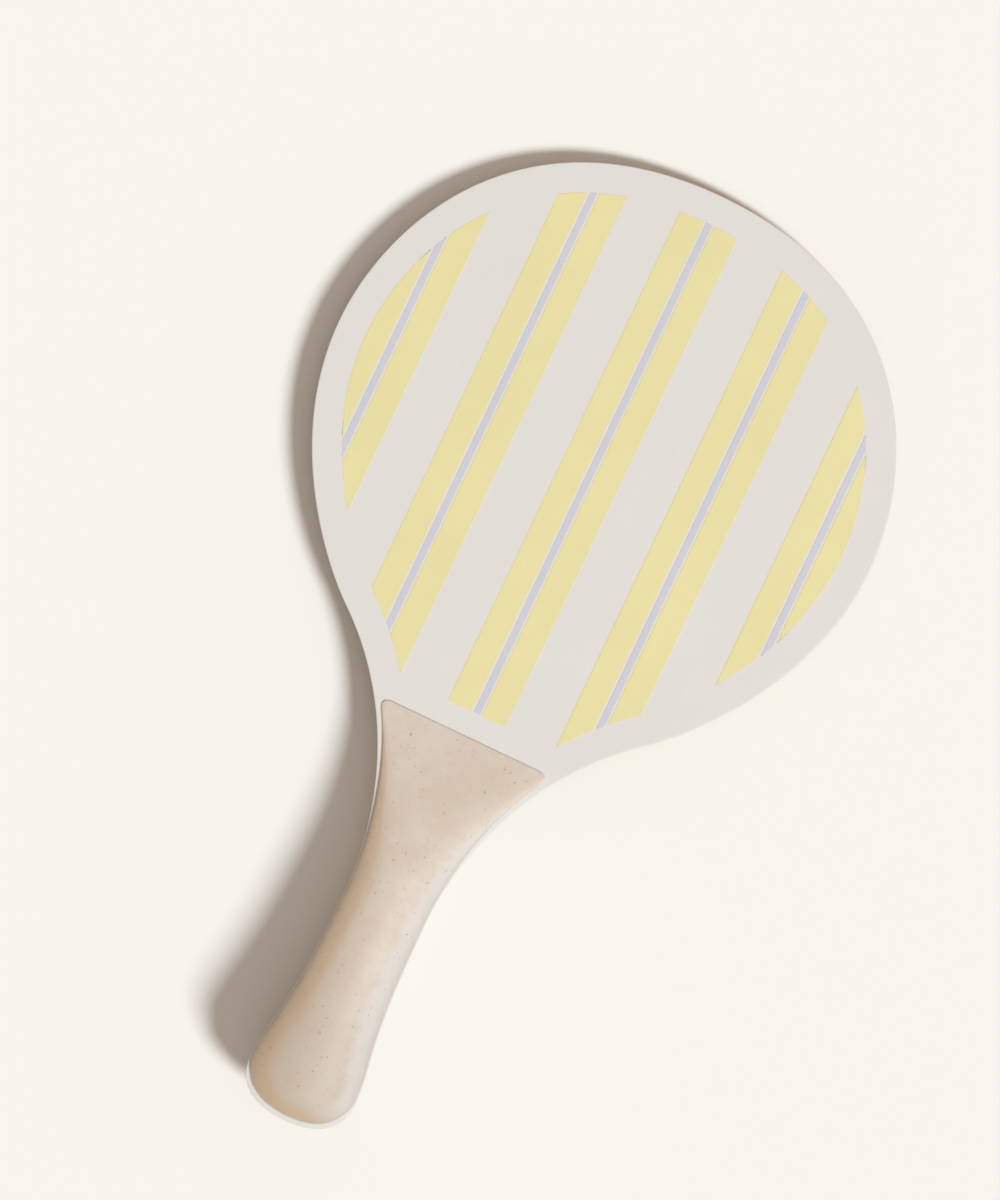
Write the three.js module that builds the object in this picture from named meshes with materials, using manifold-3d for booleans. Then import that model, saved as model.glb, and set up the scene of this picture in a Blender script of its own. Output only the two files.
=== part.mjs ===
// A frescobol racket: a plywood bat with one moulded grip half on each face of its tang.
// Millimetres. +Y runs from the butt to the top of the head, and +Z out of the printed face.
// The origin is the middle of the whole racket.
import * as THREE from "three";
import { mergeVertices } from "three/addons/utils/BufferGeometryUtils.js";
import Module from "manifold-3d";

const wasm = await Module();
wasm.setup();

// Outline of the bat, from the top of the head down to the end of the tang
const BAT_LENGTH = 380;
const HEAD_WIDTH = 218;
const CROWN_DROP = 102.4; // top of the head down to its widest line
const SHOULDER_DROP = 94.4; // widest line down to the turn into the throat
const TURN_WIDTH = 123.4; // across the bat at that turn
const TURN_SLOPE_DEG = 51.3; // between the edge there and the long axis
const THROAT_DROP = 94.4; // turn down to the narrowest line
const NECK_WIDTH = 32.5; // across the narrowest line
const BUTT_WIDTH = 42.8; // across the widest line of the butt
const BUTT_RISE = 15.3; // end of the tang up to that line

// How long each curved stretch holds its direction at its two ends
const CROWN_ARM_SHARES = [0.75, 0.4];
const SHOULDER_ARM_SHARES = [0.54, 0.12];
const THROAT_ARM_SHARES = [0.515, 0.215];
const HANDLE_ARM_SHARES = [0.763, 0.265];
const BUTT_ARM_SHARES = [0.62, 0.62];
const STRETCH_STEPS = [20, 16, 16, 8, 9];

// Plywood
const FACE_PLY = 1;
const CROSS_PLY = 1.25;
const CORE_PLY = 1.5;
const EDGE_EASE = 0.4; // sanded chamfer round both faces

// Paint and print
const GROUND_COAT = 0.125;
const INK_COAT = 0.125;
const BAND_COUNT = 5;
const BAND_PITCH_SHARE = 0.2236; // middle to middle, of the width of the print
const BAND_WIDTH_SHARE = 0.54; // of that pitch
const LINE_WIDTH = 2.6; // the thin line along the middle of each band
const LINE_GAP = 0.7; // bare ground on each side of that line
const PRINT_MARGIN = 11.3; // bare ground between the print and the edge of the bat
const PRINT_TO_GRIP = 9.3; // bare ground between the print and the grip

// Moulded grip halves
const GRIP_LENGTH = 155.9;
const GRIP_CREST = 11; // full height above the board
const GRIP_RIM = 0.9; // upright rim round the half
const GRIP_TOP_EDGE = 1.2; // height of the straight edge at the head end
const GRIP_RAMP = 72; // length over which the flare climbs to its full height
const GRIP_CORNER = 6; // run of each rounded corner of the straight edge
const GRIP_NOSE = 14; // length of the rounding at the butt
const GRIP_WALL = 2.4;
const FLARE_MARGIN = 2.2; // board left showing beside the flare
const NECK_MARGIN = 0.35; // board left showing beside the neck
const BUTT_MARGIN = 2; // board left showing round the butt
const BUTT_FADE_SHARES = [0.5, 1.2]; // where that margin starts and stops narrowing, of the butt's rise
const HANDLE_ROUNDNESS_SHARE = 1; // one is an ellipse, less is squarer
const FLARE_ROUNDNESS_SHARE = 0.5;
const NOSE_ROUNDNESS_SHARE = 0.85;
const RAMP_EASE_SHARE = 0.62; // one half climbs straight away, one starts level
const CORNER_STEPS = 5;
const OUTER_COLUMNS = 20;
const INNER_COLUMNS = 12;

// Ribs inside each half, and the pegs that join the halves through the tang
const POCKET_FLAT_SHARE = 0.95; // how high up its section the pocket's ceiling turns level
const POCKET_DEPTH_LEAST = 1.4; // depth at the pocket's shallow end, up in the flare
const RIB_THICKNESS = 1.6;
const RIB_COUNT = 5;
const PEG_COUNT = 3;
const PEG_PITCH = 42;
const PEG_FROM_END = 26; // end of the tang to the lowest peg
const PEG_RADIUS = 3;
const PEG_TAPER = 1; // length and depth of the peg's lead-in
const PEG_REACH = 6.5; // how far a peg enters its socket
const PEG_HOLE_CLEARANCE = 0.3; // between a peg and its hole in the board
const SOCKET_CLEARANCE = 0.1; // between a peg and its socket
const SOCKET_SPARE = 0.6; // depth left below the peg's tip
const BOSS_WALL = 2;
const ROUND_STEPS = 20;

const OVERRUN = 5; // how far a cutting body passes the face that it cuts

const FINISHES = {
  birch_face: { color: 0xe3c9a3, roughness: 0.62 },
  birch_cross: { color: 0xcfae82, roughness: 0.75 },
  ground_paint: { color: 0xe4e0d9, roughness: 0.5 },
  yellow_ink: { color: 0xe8e0aa, roughness: 0.48 },
  lavender_ink: { color: 0xd0ced6, roughness: 0.48 },
  flecked_composite: { color: 0xd8c8b6, roughness: 0.42 },
};

// Heights of the lay-up, from the rear face of the board to the top of the ink
const LAY_UP = [FACE_PLY, CROSS_PLY, CORE_PLY, CROSS_PLY, FACE_PLY, GROUND_COAT, INK_COAT];
const levels = [0];
for (const thickness of LAY_UP) levels.push(levels.at(-1) + thickness);
const boardFace = levels[5];
const groundFace = levels[6];

// Places along the middle line
const topY = BAT_LENGTH / 2;
const widestY = topY - CROWN_DROP;
const turnY = widestY - SHOULDER_DROP;
const neckY = turnY - THROAT_DROP;
const endY = -BAT_LENGTH / 2;
const buttY = endY + BUTT_RISE;
const gripTopY = endY + BUTT_MARGIN + GRIP_LENGTH;
const pegYs = Array.from({ length: PEG_COUNT }, (_, i) => endY + PEG_FROM_END + i * PEG_PITCH);

// Spacing of the print across the head
const bandPitch = (HEAD_WIDTH - 2 * PRINT_MARGIN) * BAND_PITCH_SHARE;
const bandWidth = bandPitch * BAND_WIDTH_SHARE;

// The right-hand edge of the bat from the top of the head to the end of the tang.
function edgeStretches() {
  const slope = THREE.MathUtils.degToRad(TURN_SLOPE_DEG);
  const right = new THREE.Vector2(1, 0);
  const left = new THREE.Vector2(-1, 0);
  const down = new THREE.Vector2(0, -1);
  const slant = new THREE.Vector2(-Math.sin(slope), -Math.cos(slope));
  const knots = [
    { at: new THREE.Vector2(0, topY), runs: right },
    { at: new THREE.Vector2(HEAD_WIDTH / 2, widestY), runs: down },
    { at: new THREE.Vector2(TURN_WIDTH / 2, turnY), runs: slant },
    { at: new THREE.Vector2(NECK_WIDTH / 2, neckY), runs: down },
    { at: new THREE.Vector2(BUTT_WIDTH / 2, buttY), runs: down },
    { at: new THREE.Vector2(0, endY), runs: left },
  ];
  const armShares = [
    CROWN_ARM_SHARES, SHOULDER_ARM_SHARES, THROAT_ARM_SHARES, HANDLE_ARM_SHARES, BUTT_ARM_SHARES,
  ];
  return armShares.map(([leaving, arriving], i) => {
    const [from, to] = [knots[i], knots[i + 1]];
    const across = Math.abs(to.at.x - from.at.x);
    const along = Math.abs(to.at.y - from.at.y);
    const reach = ({ runs }) => (runs.y === 0 ? across : along);
    const first = from.at.clone().addScaledVector(from.runs, leaving * reach(from));
    const second = to.at.clone().addScaledVector(to.runs, -arriving * reach(to));
    return new THREE.CubicBezierCurve(from.at, first, second, to.at);
  });
}

// Points down that edge, each with the direction that faces out of the bat.
function edgePoints() {
  const points = [];
  edgeStretches().forEach((curve, i) => {
    for (let k = i === 0 ? 0 : 1; k <= STRETCH_STEPS[i]; k++) {
      const t = k / STRETCH_STEPS[i];
      const tangent = curve.getTangent(t);
      points.push({ at: curve.getPoint(t), out: new THREE.Vector2(-tangent.y, tangent.x) });
    }
  });
  return points;
}
const batEdge = edgePoints();

// The right-hand edge drawn in by a margin, which may change along the bat.
function edgeInset(marginAt) {
  return batEdge.map(({ at, out }) => {
    const moved = at.clone().addScaledVector(out, -marginAt(at.y));
    return at.x === 0 ? new THREE.Vector2(0, moved.y) : moved;
  });
}

// Geometry of a closed body from points and triangles, with the collapsed triangles dropped.
function bodyGeometry(points, triangles) {
  const geometry = new THREE.BufferGeometry();
  geometry.setAttribute("position", new THREE.Float32BufferAttribute(points.flat(), 3));
  geometry.setIndex(triangles.flat());
  const merged = mergeVertices(geometry);
  const kept = [];
  for (let i = 0; i < merged.index.count; i += 3) {
    const corners = [0, 1, 2].map((k) => merged.index.getX(i + k));
    if (new Set(corners).size === 3) kept.push(...corners);
  }
  return merged.setIndex(kept);
}

// A symmetric plate through rings that share one outline, given lowest first as right-hand edges.
function platedBody(rings) {
  const count = rings[0].edge.length;
  const points = rings.flatMap(({ edge, z }) => [
    ...edge.map((p) => [p.x, p.y, z]),
    ...edge.map((p) => [-p.x, p.y, z]),
  ]);
  const right = (ring, i) => ring * 2 * count + i;
  const left = (ring, i) => right(ring, i) + count;
  const triangles = [];
  const quad = (a, b, c, d) => triangles.push([a, b, c], [a, c, d]);
  const last = rings.length - 1;
  for (let i = 0; i + 1 < count; i++) {
    quad(right(0, i), right(0, i + 1), left(0, i + 1), left(0, i));
    quad(right(last, i), left(last, i), left(last, i + 1), right(last, i + 1));
    for (let ring = 0; ring < last; ring++) {
      quad(right(ring, i), right(ring + 1, i), right(ring + 1, i + 1), right(ring, i + 1));
      quad(left(ring, i), left(ring, i + 1), left(ring + 1, i + 1), left(ring + 1, i));
    }
  }
  return bodyGeometry(points, triangles);
}

// A three.js geometry as a solid that can be joined and cut, and back again.
function solidOf(geometry) {
  const bare = geometry.clone();
  bare.deleteAttribute("normal");
  bare.deleteAttribute("uv");
  const merged = mergeVertices(bare);
  return new wasm.Manifold(
    new wasm.Mesh({
      numProp: 3,
      vertProperties: merged.attributes.position.array,
      triVerts: new Uint32Array(merged.index.array),
    }),
  );
}

function geometryOf(solid) {
  const { vertProperties, triVerts } = solid.getMesh();
  const geometry = new THREE.BufferGeometry();
  geometry.setAttribute("position", new THREE.BufferAttribute(vertProperties, 3));
  geometry.setIndex(new THREE.BufferAttribute(triVerts, 1));
  return geometry.toNonIndexed();
}

// A box given by its lowest and highest corners.
function boxBetween(low, high) {
  const size = high.map((v, i) => v - low[i]);
  const middle = high.map((v, i) => (v + low[i]) / 2);
  return solidOf(new THREE.BoxGeometry(...size).translate(...middle));
}

// A round post along Z at a place on the middle line, from its profile as [radius, height] pairs.
function post(y, profile) {
  const outline = profile.map(([radius, z]) => new THREE.Vector2(radius, z));
  const turned = new THREE.LatheGeometry(outline, ROUND_STEPS);
  return solidOf(turned.rotateX(Math.PI / 2).translate(0, y, 0));
}

function plainPost(y, radius, low, high) {
  return post(y, [[0, low], [radius, low], [radius, high], [0, high]]);
}

// One named piece in its own finish.
function piece(name, finish, solid) {
  const material = new THREE.MeshStandardMaterial({ metalness: 0, ...FINISHES[finish] });
  const geometry = geometryOf(solid);
  geometry.computeVertexNormals();
  const mesh = new THREE.Mesh(geometry, material);
  mesh.name = name;
  return mesh;
}

// The board: five plies on one outline, with the outer edges of both faces eased.
function plies() {
  const names = ["rear_face_veneer", "rear_cross_ply", "core_ply", "front_cross_ply", "front_face_veneer"];
  const full = edgeInset(() => 0);
  const eased = edgeInset(() => EDGE_EASE);
  return names.map((name, i) => {
    const [low, high] = [levels[i], levels[i + 1]];
    const isRear = i === 0;
    const isFront = i === names.length - 1;
    const rings = [{ edge: isRear ? eased : full, z: low }];
    if (isRear) rings.push({ edge: full, z: low + EDGE_EASE });
    if (isFront) rings.push({ edge: full, z: high - EDGE_EASE });
    rings.push({ edge: isFront ? eased : full, z: high });
    const board = solidOf(platedBody(rings));
    return piece(name, i % 2 ? "birch_cross" : "birch_face", drilled(board, low, high));
  });
}

// The same holes for the pegs go through every layer of the board and its paint.
function drilled(solid, low, high) {
  const radius = PEG_RADIUS + PEG_HOLE_CLEARANCE;
  return pegYs.reduce((rest, y) => rest.subtract(plainPost(y, radius, low - OVERRUN, high + OVERRUN)), solid);
}

function groundCoat() {
  const edge = edgeInset(() => EDGE_EASE);
  const film = solidOf(platedBody([{ edge, z: boardFace }, { edge, z: groundFace }]));
  return piece("front_ground_coat", "ground_paint", drilled(film, boardFace, groundFace));
}

// The print: bands along the handle axis, each a thin line between two broad stripes, all cut off by
// the outline drawn in from the edge and by a straight line above the grip.
function stripes() {
  const [low, high] = [groundFace, levels.at(-1)];
  const edge = edgeInset(() => PRINT_MARGIN);
  const field = solidOf(platedBody([{ edge, z: low }, { edge, z: high }]));
  const parts = [
    { label: "yellow_left", finish: "yellow_ink", span: [-bandWidth / 2, -LINE_WIDTH / 2 - LINE_GAP] },
    { label: "lavender", finish: "lavender_ink", span: [-LINE_WIDTH / 2, LINE_WIDTH / 2] },
    { label: "yellow_right", finish: "yellow_ink", span: [LINE_WIDTH / 2 + LINE_GAP, bandWidth / 2] },
  ];
  const made = [];
  for (let band = 0; band < BAND_COUNT; band++) {
    const middle = (band - (BAND_COUNT - 1) / 2) * bandPitch;
    for (const { label, finish, span } of parts) {
      const strip = boxBetween(
        [middle + span[0], gripTopY + PRINT_TO_GRIP, low - OVERRUN],
        [middle + span[1], topY, high + OVERRUN],
      );
      made.push(piece(`stripe_${band + 1}_${label}`, finish, field.intersect(strip)));
    }
  }
  return made;
}

// How much of the board shows beside the grip at a place along the handle.
function gripMargin(y) {
  const { smoothstep } = THREE.MathUtils;
  const flare = (FLARE_MARGIN - NECK_MARGIN) * smoothstep(y, neckY, gripTopY);
  const [fadeStart, fadeEnd] = BUTT_FADE_SHARES.map((share) => endY + share * BUTT_RISE);
  const butt = (BUTT_MARGIN - NECK_MARGIN) * (1 - smoothstep(y, fadeStart, fadeEnd));
  return NECK_MARGIN + flare + butt;
}

// Height of the grip's dome along the middle line: a ramp up the flare, then level.
function crestAt(y) {
  const climb = THREE.MathUtils.clamp((gripTopY - y) / GRIP_RAMP, 0, 1);
  const share = Math.sin((climb * Math.PI) / 2) ** (2 * RAMP_EASE_SHARE);
  return GRIP_TOP_EDGE + (GRIP_CREST - GRIP_TOP_EDGE) * share;
}

// The place on the ramp where the dome has a given height.
function placeOfCrest(height) {
  const share = (height - GRIP_TOP_EDGE) / (GRIP_CREST - GRIP_TOP_EDGE);
  const climb = (Math.asin(share ** (1 / (2 * RAMP_EASE_SHARE))) * 2) / Math.PI;
  return gripTopY - climb * GRIP_RAMP;
}

// Right-hand edge of a grip half from its butt up to its straight top edge, drawn in by an inset.
function gripEdge(inset, headEndY, corner) {
  const side = edgeInset((y) => gripMargin(y) + inset).reverse();
  const above = side.findIndex((p) => p.y > headEndY);
  const [below, beyond] = [side[above - 1], side[above]];
  const tip = below.clone().lerp(beyond, (headEndY - below.y) / (beyond.y - below.y));
  if (corner === 0) return [...side.slice(0, above).filter((p) => p.y < headEndY), tip];
  const kept = side.slice(0, above).filter((p) => p.distanceTo(tip) > corner);
  const downTheSide = tip.clone().sub(kept.at(-1)).setLength(corner);
  const start = tip.clone().sub(downTheSide);
  const end = new THREE.Vector2(tip.x - corner, headEndY);
  const rounding = new THREE.QuadraticBezierCurve(start, tip, end).getPoints(CORNER_STEPS);
  return [...kept, ...rounding];
}

// A domed half body over that edge: rows across the handle, each a rounded section on an upright rim,
// cut off level where it passes the flat share of its height.
function domedBody({ edge, rim, base, heightAt, flatShare, columns }) {
  const buttEnd = edge[0].y;
  const nose = GRIP_NOSE - (buttEnd - endY - BUTT_MARGIN);
  const rows = edge.map(({ x, y }) => {
    const short = THREE.MathUtils.clamp((buttEnd + nose - y) / nose, 0, 1);
    const noseShare = (1 - short ** (2 / NOSE_ROUNDNESS_SHARE)) ** (NOSE_ROUNDNESS_SHARE / 2);
    const flareShare = THREE.MathUtils.smoothstep(y, neckY, gripTopY);
    const roundness = THREE.MathUtils.lerp(HANDLE_ROUNDNESS_SHARE, FLARE_ROUNDNESS_SHARE, flareShare);
    const rise = (heightAt(y) - rim) * noseShare;
    return Array.from({ length: columns + 1 }, (_, j) => {
      const angle = (j / columns) * Math.PI;
      const across = Math.sign(Math.cos(angle)) * Math.abs(Math.cos(angle)) ** roundness;
      const up = j === 0 || j === columns ? 0 : Math.sin(angle) ** roundness;
      return [x * (j * 2 === columns ? 0 : across), y, rim + rise * Math.min(up, flatShare)];
    });
  });
  const floor = edge.flatMap(({ x, y }) => [[x, y, base], [-x, y, base]]);
  const points = [...rows.flat(), ...floor];
  const dome = (i, j) => i * (columns + 1) + j;
  const foot = (i, side) => rows.length * (columns + 1) + 2 * i + side;
  const triangles = [];
  const quad = (a, b, c, d) => triangles.push([a, b, c], [a, c, d]);
  for (let i = 0; i + 1 < rows.length; i++) {
    for (let j = 0; j < columns; j++) quad(dome(i, j), dome(i + 1, j), dome(i + 1, j + 1), dome(i, j + 1));
    quad(foot(i, 0), foot(i + 1, 0), dome(i + 1, 0), dome(i, 0));
    quad(foot(i, 1), dome(i, columns), dome(i + 1, columns), foot(i + 1, 1));
    quad(foot(i, 0), foot(i, 1), foot(i + 1, 1), foot(i + 1, 0));
  }
  const head = rows.length - 1;
  triangles.push([foot(head, 0), foot(head, 1), dome(head, columns)]);
  for (let j = columns; j > 0; j--) triangles.push([foot(head, 0), dome(head, j), dome(head, j - 1)]);
  return solidOf(bodyGeometry(points, triangles));
}

// A moulded half without its pegs or sockets: a shell with a spine and cross ribs inside.
// Its open side lies in the plane Z = 0 and its dome rises along +Z.
function gripHalf() {
  const outer = domedBody({
    edge: gripEdge(0, gripTopY, GRIP_CORNER),
    rim: GRIP_RIM,
    base: 0,
    heightAt: crestAt,
    flatShare: 1,
    columns: OUTER_COLUMNS,
  });
  // Above this place the flare is too thin for a pocket and stays solid.
  const pocketTop = placeOfCrest(GRIP_WALL + POCKET_DEPTH_LEAST);
  const pocket = domedBody({
    edge: gripEdge(GRIP_WALL, pocketTop, 0),
    rim: 0,
    base: -OVERRUN,
    heightAt: (y) => (crestAt(y) - GRIP_WALL) / POCKET_FLAT_SHARE,
    flatShare: POCKET_FLAT_SHARE,
    columns: INNER_COLUMNS,
  });
  // What stands inside the pocket is trimmed halfway through the wall, so that it grows out of it.
  const trim = domedBody({
    edge: gripEdge(GRIP_WALL / 2, pocketTop + GRIP_WALL / 2, 0),
    rim: GRIP_RIM / 2,
    base: 0,
    heightAt: (y) => crestAt(y) - GRIP_WALL / 2,
    flatShare: 1,
    columns: INNER_COLUMNS,
  });
  const pocketEnd = endY + BUTT_MARGIN + GRIP_WALL;
  const ribPitch = (pocketTop - pocketEnd) / (RIB_COUNT + 1);
  let frame = boxBetween(
    [-RIB_THICKNESS / 2, endY, 0],
    [RIB_THICKNESS / 2, gripTopY, GRIP_CREST],
  );
  for (let i = 1; i <= RIB_COUNT; i++) {
    const y = pocketEnd + i * ribPitch;
    frame = frame.add(
      boxBetween(
        [-TURN_WIDTH / 2, y - RIB_THICKNESS / 2, 0],
        [TURN_WIDTH / 2, y + RIB_THICKNESS / 2, GRIP_CREST],
      ),
    );
  }
  return { trim, shell: outer.subtract(pocket).add(frame.intersect(trim)) };
}

// Front half: solid bosses, each drawn out into a peg that passes through the tang.
function frontGrip() {
  const { trim, shell } = gripHalf();
  const tip = -(groundFace + PEG_REACH);
  let solid = shell;
  for (const y of pegYs) {
    solid = solid.add(plainPost(y, PEG_RADIUS + BOSS_WALL, 0, GRIP_CREST).intersect(trim));
    const profile = [
      [0, tip],
      [PEG_RADIUS - PEG_TAPER, tip],
      [PEG_RADIUS, tip + PEG_TAPER],
      [PEG_RADIUS, GRIP_CREST / 2],
      [0, GRIP_CREST / 2],
    ];
    solid = solid.add(post(y, profile));
  }
  const grip = piece("front_grip_shell", "flecked_composite", solid);
  grip.position.z = groundFace;
  return grip;
}

// Rear half: the same shell turned over, with sockets where the pegs arrive.
function rearGrip() {
  const { trim, shell } = gripHalf();
  const radius = PEG_RADIUS + SOCKET_CLEARANCE;
  let solid = shell;
  for (const y of pegYs) solid = solid.add(plainPost(y, radius + BOSS_WALL, 0, GRIP_CREST).intersect(trim));
  for (const y of pegYs) solid = solid.subtract(plainPost(y, radius, -OVERRUN, PEG_REACH + SOCKET_SPARE));
  const grip = piece("rear_grip_shell", "flecked_composite", solid);
  grip.rotation.y = Math.PI;
  return grip;
}

// The lay-up starts at the rear face of the board, so it is let down by half its painted thickness.
const racket = new THREE.Group();
racket.position.z = -groundFace / 2;
racket.add(...plies(), groundCoat(), ...stripes(), frontGrip(), rearGrip());

export default racket;
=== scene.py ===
import math

import bmesh
import bpy
import numpy as np
from bpy.props import (
    FloatProperty, FloatVectorProperty, IntProperty, IntVectorProperty, PointerProperty,
)
from mathutils import Matrix, Vector


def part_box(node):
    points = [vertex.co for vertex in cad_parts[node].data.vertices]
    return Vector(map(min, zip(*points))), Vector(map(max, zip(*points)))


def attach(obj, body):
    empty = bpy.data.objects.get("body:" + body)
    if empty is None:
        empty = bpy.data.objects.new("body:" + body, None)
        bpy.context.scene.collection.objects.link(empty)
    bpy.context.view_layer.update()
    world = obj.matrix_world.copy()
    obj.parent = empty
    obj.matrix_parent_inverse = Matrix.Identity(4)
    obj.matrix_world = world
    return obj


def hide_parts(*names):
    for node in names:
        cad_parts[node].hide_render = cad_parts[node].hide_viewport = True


bl_info = {
    "name": "Frescobol racket",
    "version": (1, 0, 0),
    "blender": (4, 5, 0),
    "location": "View3D > Sidebar > Racket",
    "description": "Builds a plywood beach racket with a striped face and moulded grips",
    "category": "Add Mesh",
}

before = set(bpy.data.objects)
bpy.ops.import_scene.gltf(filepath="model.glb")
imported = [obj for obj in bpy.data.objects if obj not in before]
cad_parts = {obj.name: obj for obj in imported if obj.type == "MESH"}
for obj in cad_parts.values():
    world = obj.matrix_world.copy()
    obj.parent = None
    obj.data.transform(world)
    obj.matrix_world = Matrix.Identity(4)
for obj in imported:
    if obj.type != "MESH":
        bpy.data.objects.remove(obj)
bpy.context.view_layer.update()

MM = 0.001
MERGE_REACH = 1e-7  # points nearer than this are one point
OVERRUN = 4 * MM  # how far a body goes on beyond the plane where it is cut off
SHARP_ANGLE = math.radians(35)  # an edge that turns more than this stays a corner
CAMERA_REACH = (0.05, 40)  # nearest and farthest that the camera sees
FLOOR_GLOW = 1.02  # how strongly the floor lights the reverse in a view from underneath

# Segments of the curves that no setting divides
POST_STEPS = 48
FEATHER_STEPS = 6
STRIPE_STEPS = 28
CORNER_STEPS = 14
SECTION_STEPS = 720
POCKET_COLUMNS = 32
HANDLE_STEPS = 400
FLOOR_STEPS = 128

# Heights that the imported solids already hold
REAR_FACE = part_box("rear_face_veneer")[0].z
BOARD_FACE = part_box("front_face_veneer")[1].z
PAINT_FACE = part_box("front_ground_coat")[1].z
INK_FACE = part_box("stripe_1_lavender")[1].z


# Settings

def linear(*screen_colour):
    """Scene-linear red, green and blue of a colour that a screen shows as 0 to 255."""
    shares = [value / 255 for value in screen_colour]
    return tuple(s / 12.92 if s <= 0.04045 else ((s + 0.055) / 1.055) ** 2.4 for s in shares)


def setting(kind, name, description, default, **more):
    return kind(name=name, description=description, default=default, **more)


def length(name, description, millimetres):
    default = millimetres * MM
    return setting(FloatProperty, name, description, default, min=0, unit="LENGTH", precision=5)


def share(name, description, default):
    return setting(FloatProperty, name, description, default, min=0, max=1, subtype="FACTOR")


def pair(name, description, first, second):
    return setting(FloatVectorProperty, name, description, (first, second), size=2, min=0)


def angle(name, description, degrees):
    return setting(FloatProperty, name, description, math.radians(degrees), subtype="ANGLE")


def count(name, description, default, least=1):
    return setting(IntProperty, name, description, default, min=least)


def colour(name, description, *screen_colour):
    default = linear(*screen_colour)
    return setting(
        FloatVectorProperty, name, description, default, size=3, min=0, max=1, subtype="COLOR"
    )


class RacketOutline(bpy.types.PropertyGroup):
    """The outline of the bat, from the top of the head down to the end of the tang."""

    bat_length: length("Length", "Top of the head to the end of the tang", 380)
    head_width: length("Head width", "Across the widest line of the head", 218)
    crown_drop: length("Crown drop", "Top of the head down to its widest line", 102.4)
    shoulder_drop: length("Shoulder drop", "Widest line down to the turn into the throat", 94.4)
    turn_width: length("Turn width", "Across the bat at that turn", 123.4)
    turn_slope: angle("Turn slope", "Between the edge at the turn and the long axis", 51.3)
    throat_drop: length("Throat drop", "Turn down to the narrowest line", 94.4)
    neck_width: length("Neck width", "Across the narrowest line", 32.5)
    butt_width: length("Butt width", "Across the widest line of the butt", 42.8)
    butt_rise: length("Butt rise", "End of the tang up to that line", 15.3)
    crown_arms: pair("Crown arms", "How long the crown holds its direction at its ends", 0.75, 0.4)
    shoulder_arms: pair("Shoulder arms", "The same for the shoulder", 0.54, 0.12)
    throat_arms: pair("Throat arms", "The same for the throat", 0.515, 0.215)
    handle_arms: pair("Handle arms", "The same for the handle", 0.763, 0.265)
    butt_arms: pair("Butt arms", "The same for the butt", 0.62, 0.62)
    steps: setting(
        IntVectorProperty, "Steps", "Segments of those five stretches", (72, 60, 72, 48, 40),
        size=5,
    )


class RacketBoard(bpy.types.PropertyGroup):
    """The plies and their finish."""

    edge_round: length("Edge rounding", "Sanded radius round both faces", 0.4)
    edge_steps: count("Edge steps", "Segments over that radius", 5)
    flat_from: length("Flat from", "Inside this distance from its edge a face is quite flat", 1)
    glue_groove: length("Glue groove", "Depth of the fine groove where two plies meet", 0.07)
    peg_count: count("Pegs", "Pegs that join the grip halves", 3)
    peg_pitch: length("Peg pitch", "Middle of one peg to the middle of the next", 42)
    peg_from_end: length("Peg from end", "End of the tang to the lowest peg", 26)
    peg_radius: length("Peg radius", "Radius of a peg", 3)
    peg_clearance: length("Peg clearance", "Between a peg and its hole in the board", 0.3)
    paint_feather: angle("Paint feather", "How far round the edge the ground paint reaches", 78)


class RacketPrint(bpy.types.PropertyGroup):
    """The printed stripes."""

    band_count: count("Bands", "Stripe bands across the head", 5)
    pitch_share: share("Pitch", "Middle to middle of two bands, of the width of the print", 0.2236)
    width_share: share("Band width", "Width of a band, of that pitch", 0.54)
    line_width: length("Line width", "Width of the line along the middle of a band", 2.6)
    line_gap: length("Line gap", "Bare ground on each side of that line", 0.7)
    margin: length("Margin", "Bare ground between the print and the edge of the bat", 11.3)
    to_grip: length("Gap to grip", "Bare ground between the print and the grip", 9.3)
    edge_round: length("Edge rounding", "Softening round the top of the ink", 0.06)


class RacketGrip(bpy.types.PropertyGroup):
    """One moulded grip half."""

    grip_length: length("Length", "Butt to the straight edge at the head end", 155.9)
    crest: length("Crest", "Full height above the board", 11)
    rim: length("Rim", "Upright rim round the half", 0.9)
    top_edge: length("Top edge", "Height of the straight edge at the head end", 1.2)
    top_round: length("Top rounding", "Radius over that edge", 0.5)
    foot_relief: length("Foot relief", "Small chamfer where the rim meets the board", 0.25)
    ramp: length("Ramp", "Length over which the flare climbs to its full height", 72)
    corner: length("Corner", "Run of each rounded corner of the straight edge", 6)
    nose: length("Nose", "Length of the rounding at the butt", 14)
    wall: length("Wall", "Thickness of the shell", 2.4)
    flare_margin: length("Flare margin", "Board left showing beside the flare", 2.2)
    neck_margin: length("Neck margin", "Board left showing beside the neck", 0.35)
    butt_margin: length("Butt margin", "Board left showing round the butt", 2)
    butt_fade: pair("Butt fade", "Start and stop of its narrowing, of the butt's rise", 0.5, 1.2)
    handle_roundness: share("Handle roundness", "One is an ellipse, less is squarer", 1)
    flare_roundness: share("Flare roundness", "The same at the head end", 0.5)
    nose_roundness: share("Nose roundness", "The same over the butt", 0.85)
    ramp_ease: share("Ramp ease", "One half climbs straight away, one starts level", 0.62)
    pocket_flat: share("Pocket ceiling", "How high up its section the pocket turns level", 0.95)
    pocket_depth: length("Pocket depth", "Depth at the pocket's shallow end", 1.4)
    rib_count: count("Ribs", "Cross ribs inside each half", 5, least=0)
    rib_thickness: length("Rib thickness", "Thickness of the spine and the cross ribs", 1.6)
    boss_wall: length("Boss wall", "Wall round a peg or socket", 2)
    peg_reach: length("Peg reach", "How far a peg enters its socket", 6.5)
    peg_taper: length("Peg taper", "Length and depth of the peg's lead-in", 1)
    socket_clearance: length("Socket clearance", "Between a peg and its socket", 0.1)
    socket_spare: length("Socket spare", "Depth left below the peg's tip", 0.6)
    columns: count("Columns", "Segments across the dome", 88, least=8)


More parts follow.
